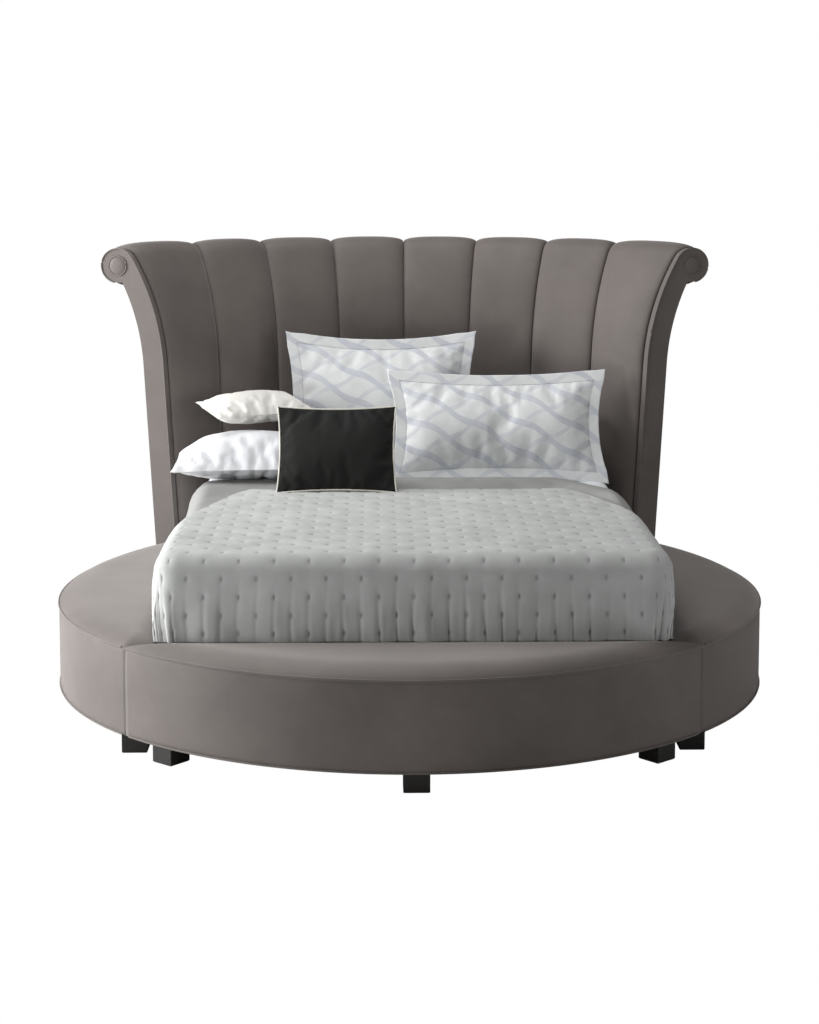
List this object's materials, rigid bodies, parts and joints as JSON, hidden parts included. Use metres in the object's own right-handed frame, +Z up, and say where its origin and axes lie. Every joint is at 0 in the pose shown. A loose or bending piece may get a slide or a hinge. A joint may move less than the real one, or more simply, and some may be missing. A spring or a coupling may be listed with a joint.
{
  "type": "round bed",
  "caption": "Round upholstered platform bed with a curved, channelled headboard that rolls over at the top, made up with bedding and pillows.",
  "frame": {"origin": "on the floor under the centre of the round platform", "axes": "+Z up, +Y towards the headboard, +X to the right seen from the foot of the bed"},
  "size_m": [3.0542, 3.3952, 1.8972],
  "materials": {
    "coverlet": "matt",
    "cream_cord": "matt",
    "dark_velvet": "matt",
    "dark_wood": "satin",
    "pine": "matt",
    "plywood": "matt",
    "printed_cotton": "matt",
    "quilted_cotton": "matt",
    "satin_cotton": "satin",
    "sheet_cotton": "matt",
    "steel": "satin",
    "ticking": "matt",
    "velvet": "matt",
    "white_cotton": "matt"
  },
  "bodies": {
    "root": {"accent_cushion": "dark_velvet", "accent_cushion_piping": "cream_cord", "back_sham": "printed_cotton", "blanket": "coverlet", "box_spring": "ticking", "centre_beam": "pine", "centre_beam_legs": "pine", "deck_slats": "pine", "fitted_sheet": "sheet_cotton", "front_bench_base": "plywood", "front_bench_boxing": "velvet", "front_bench_feet": "dark_wood", "front_bench_frame": "plywood", "front_bench_pad": "velvet", "front_bench_piping": "velvet", "front_sham": "printed_cotton", "head_filler": "velvet", "headboard_back_skin": "velvet", "headboard_bolts": "steel", "headboard_bottom_rail": "plywood", "headboard_channel_1": "velvet", "headboard_channel_2": "velvet", "headboard_channel_3": "velvet", "headboard_channel_4": "velvet", "headboard_channel_5": "velvet", "headboard_channel_6": "velvet", "headboard_channel_7": "velvet", "headboard_channel_8": "velvet", "headboard_feet": "dark_wood", "headboard_front_skin": "plywood", "headboard_left_end": "velvet", "headboard_ribs": "plywood", "headboard_right_end": "velvet", "headboard_roll_core": "plywood", "left_bench_base": "plywood", "left_bench_boxing": "velvet", "left_bench_feet": "dark_wood", "left_bench_frame": "plywood", "left_bench_pad": "velvet", "left_bench_piping": "velvet", "left_deck_rail": "pine", "left_lower_pillow": "white_cotton", "left_upper_pillow": "satin_cotton", "mattress": "ticking", "quilt": "quilted_cotton", "rear_bench_base": "plywood", "rear_bench_boxing": "velvet", "rear_bench_feet": "dark_wood", "rear_bench_frame": "plywood", "rear_bench_pad": "velvet", "right_bench_base": "plywood", "right_bench_boxing": "velvet", "right_bench_feet": "dark_wood", "right_bench_frame": "plywood", "right_bench_pad": "velvet", "right_bench_piping": "velvet", "right_deck_rail": "pine", "right_pillow": "white_cotton"}
  },
  "joints": []
}
